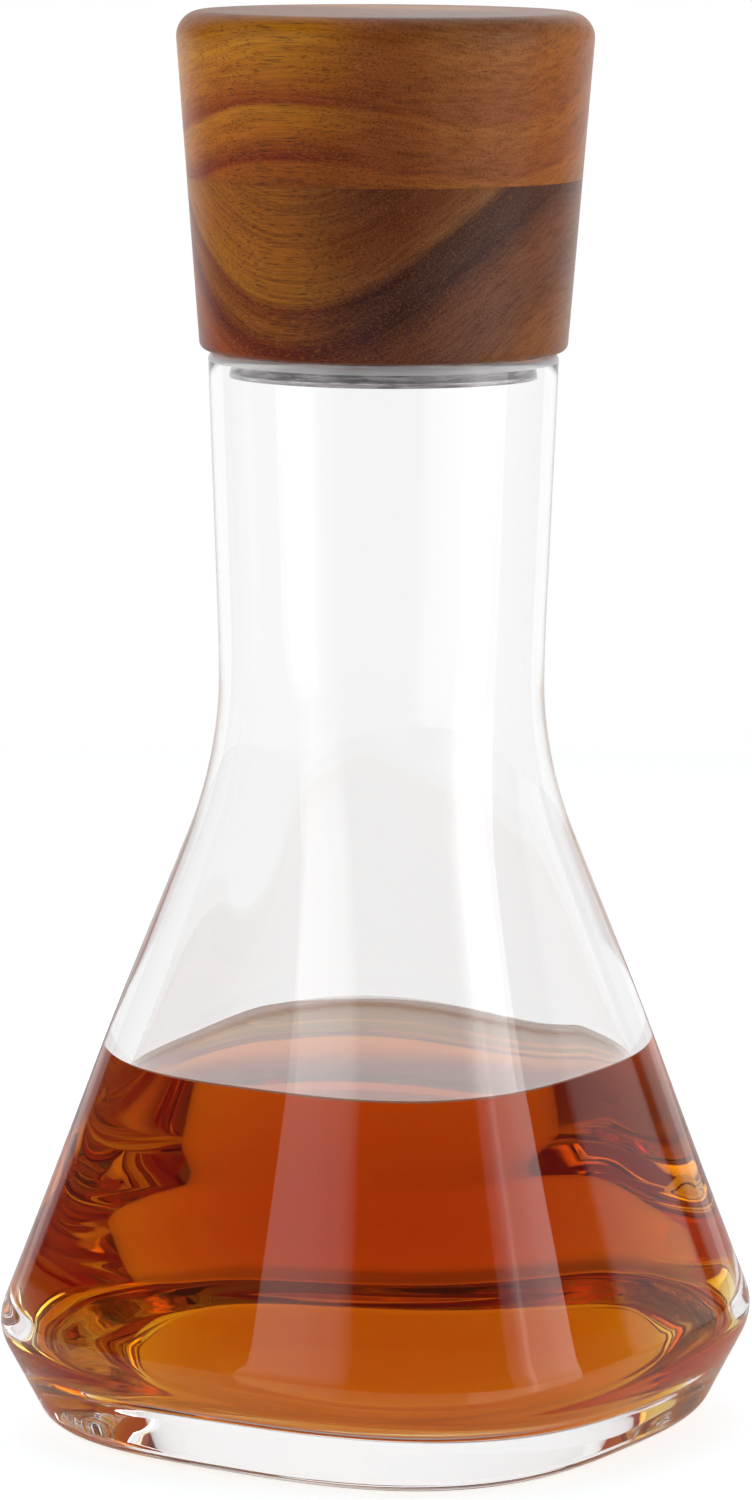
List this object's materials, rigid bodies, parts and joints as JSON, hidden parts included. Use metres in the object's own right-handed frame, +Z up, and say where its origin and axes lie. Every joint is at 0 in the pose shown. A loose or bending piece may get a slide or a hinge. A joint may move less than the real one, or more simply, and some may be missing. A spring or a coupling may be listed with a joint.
{
  "type": "glass decanter with wooden stopper",
  "caption": "Rounded square glass decanter with a round waisted neck, thick base, amber spirit inside and a tapered wooden stopper with a clear ring seal that lifts out and turns.",
  "frame": {"origin": "centre of the foot, on the plane that the foot's ring stands on", "axes": "+Z up along the neck; X and Y square to the flat sides of the body"},
  "size_m": [0.1212, 0.1212, 0.25],
  "materials": {
    "clear_glass": "polished",
    "amber_spirit": "polished",
    "clear_silicone": "satin",
    "acacia_lower": "satin",
    "acacia_upper": "satin"
  },
  "bodies": {
    "vessel": {"glass_vessel": "clear_glass", "spirit_fill": "amber_spirit"},
    "seal": {"silicone_seal": "clear_silicone"},
    "head": {"stopper_block_lower": "acacia_lower", "stopper_block_upper": "acacia_upper"}
  },
  "joints": [
    {"name": "stopper_lift", "type": "slide", "parent": "vessel", "child": "seal", "axis": [0, 0, 1], "range_m": [0, 0.06]},
    {"name": "stopper_turn", "type": "hinge", "parent": "seal", "child": "head", "pos_m": [0, 0, 0.1907], "axis": [0, 0, 1], "continuous": true}
  ]
}
